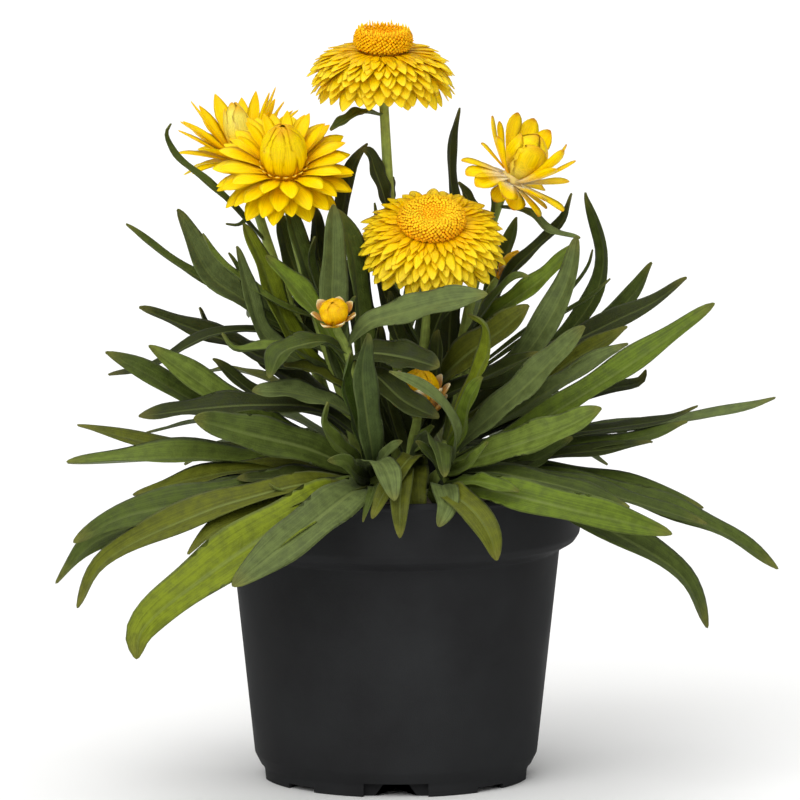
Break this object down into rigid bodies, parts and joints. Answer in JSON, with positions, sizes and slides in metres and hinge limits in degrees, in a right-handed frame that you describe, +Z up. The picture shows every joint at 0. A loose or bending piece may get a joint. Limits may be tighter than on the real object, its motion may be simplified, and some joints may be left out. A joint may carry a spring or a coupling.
{
  "type": "potted strawflower",
  "caption": "Strawflower plant in a round black nursery pot: long grey-green leaves in a low mound, yellow papery blooms on upright stems, and closed buds.",
  "frame": {"origin": "middle of the foot of the pot, at the height the pot stands on", "axes": "+Z up, -Y towards the front of the plant as it is pictured, +X to its right"},
  "size_m": [0.2229, 0.1745, 0.2349],
  "materials": {
    "pot_plastic": "matte black moulded plastic",
    "soil": null,
    "leaf": null,
    "bract": null,
    "floret": null,
    "bud": null
  },
  "bodies": {
    "root": {"pot": "pot_plastic", "soil": "soil", "leafy_stem_left": "leaf", "leafy_stem_right": "leaf", "leafy_stem_middle": "leaf", "leafy_stem_front_bloom": "leaf", "leafy_stem_top_bloom": "leaf", "leafy_stem_left_bloom": "leaf", "leafy_stem_back_left_bloom": "leaf", "leafy_stem_right_bloom": "leaf", "leafy_stem_back_right": "leaf", "bloom_top": "bract", "disc_top": "floret", "bloom_front": "bract", "disc_front": "floret", "bloom_left": "bract", "bloom_back_left": "bract", "bloom_right": "bract", "bud_left": "bud", "bud_middle": "bud", "bud_right": "bud"}
  },
  "joints": []
}
